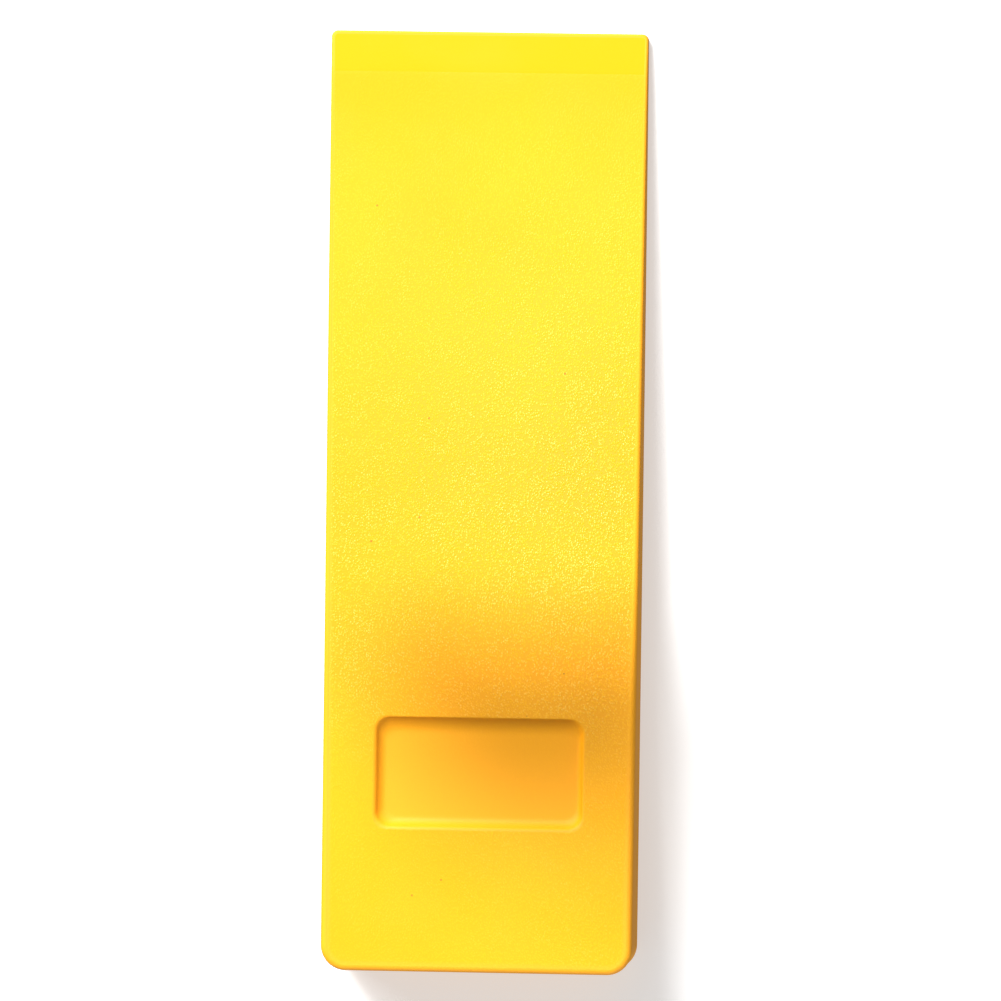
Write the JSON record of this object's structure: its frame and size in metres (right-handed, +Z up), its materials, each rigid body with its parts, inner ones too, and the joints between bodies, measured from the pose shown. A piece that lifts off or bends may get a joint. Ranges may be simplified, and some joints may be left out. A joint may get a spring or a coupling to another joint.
{
  "type": "felling wedge",
  "caption": "One-piece moulded plastic felling wedge with a slow taper, a bevelled thin tip, a square head and a shallow rectangular pocket near the head on each driving face.",
  "frame": {"origin": "bottom centre of the bounding box, with the wedge lying on its lower driving face", "axes": "+Z up, +Y along the length from the struck head to the thin tip, +X across the width"},
  "size_m": [0.0688, 0.2036, 0.0252],
  "materials": {
    "moulded_plastic": "satin"
  },
  "bodies": {
    "root": {"wedge_body": "moulded_plastic"}
  },
  "joints": []
}
